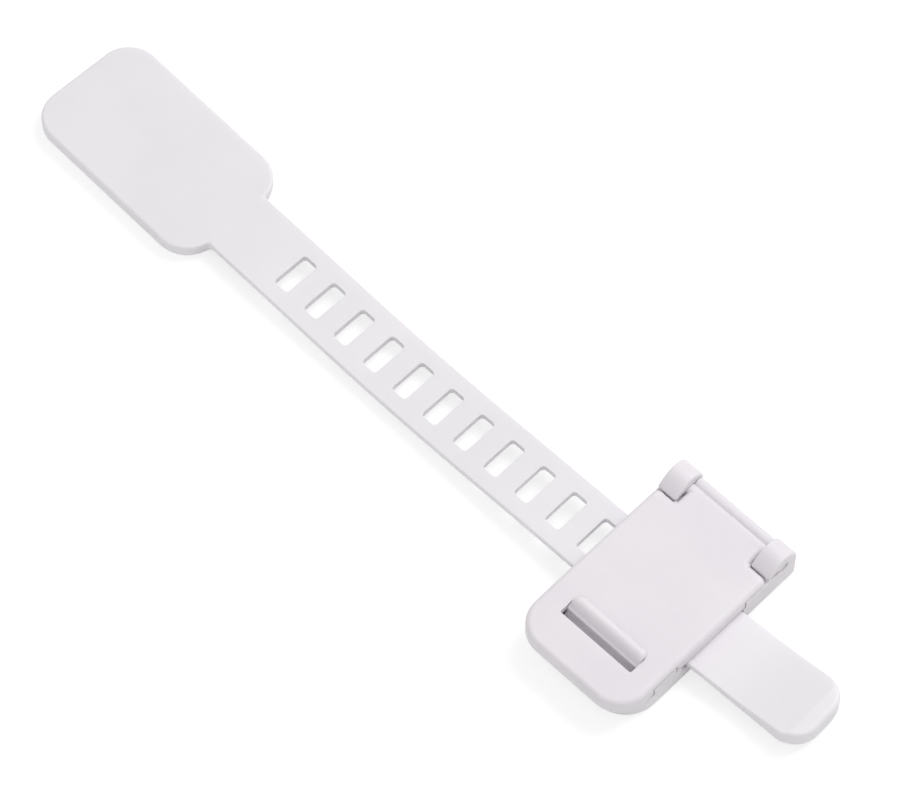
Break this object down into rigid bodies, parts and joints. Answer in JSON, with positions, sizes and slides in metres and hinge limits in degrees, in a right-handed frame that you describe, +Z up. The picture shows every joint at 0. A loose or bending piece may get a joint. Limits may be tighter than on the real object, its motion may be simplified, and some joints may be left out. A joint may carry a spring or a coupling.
{
  "type": "adhesive strap lock",
  "caption": "Adhesive child safety lock: perforated strap with an anchor pad, held in a hinged flip-lid buckle with a sprung catch.",
  "frame": {"origin": "on the bonding surface (underside of the buckle's adhesive foam), at the middle of the buckle's length, on the strap's centreline", "axes": "+X along the strap from the anchor pad to the pull tail, +Y across the strap towards the lid's hinge, +Z up from the bonding surface"},
  "size_m": [0.1977, 0.0469, 0.0107],
  "materials": {
    "strap_plastic": "satin, smooth moulded off-white",
    "buckle_plastic": "satin, smooth moulded off-white",
    "foam": "white double-sided adhesive foam"
  },
  "bodies": {
    "base": {"base": "buckle_plastic", "base_foam": "foam", "strap": "strap_plastic", "pad_foam": "foam"},
    "lid": {"lid": "buckle_plastic"},
    "catch": {"catch": "buckle_plastic"}
  },
  "joints": [
    {"name": "lid_hinge", "type": "hinge", "parent": "base", "child": "lid", "pos_m": [0, 0.0182, 0.00725], "axis": [-1, 0, 0], "range_deg": [0, 120]},
    {"name": "catch_flex", "type": "hinge", "parent": "base", "child": "catch", "pos_m": [0, -0.0143, 0.0034], "axis": [1, 0, 0], "range_deg": [0, 14], "stiffness_Nm_per_rad": 0.1}
  ]
}
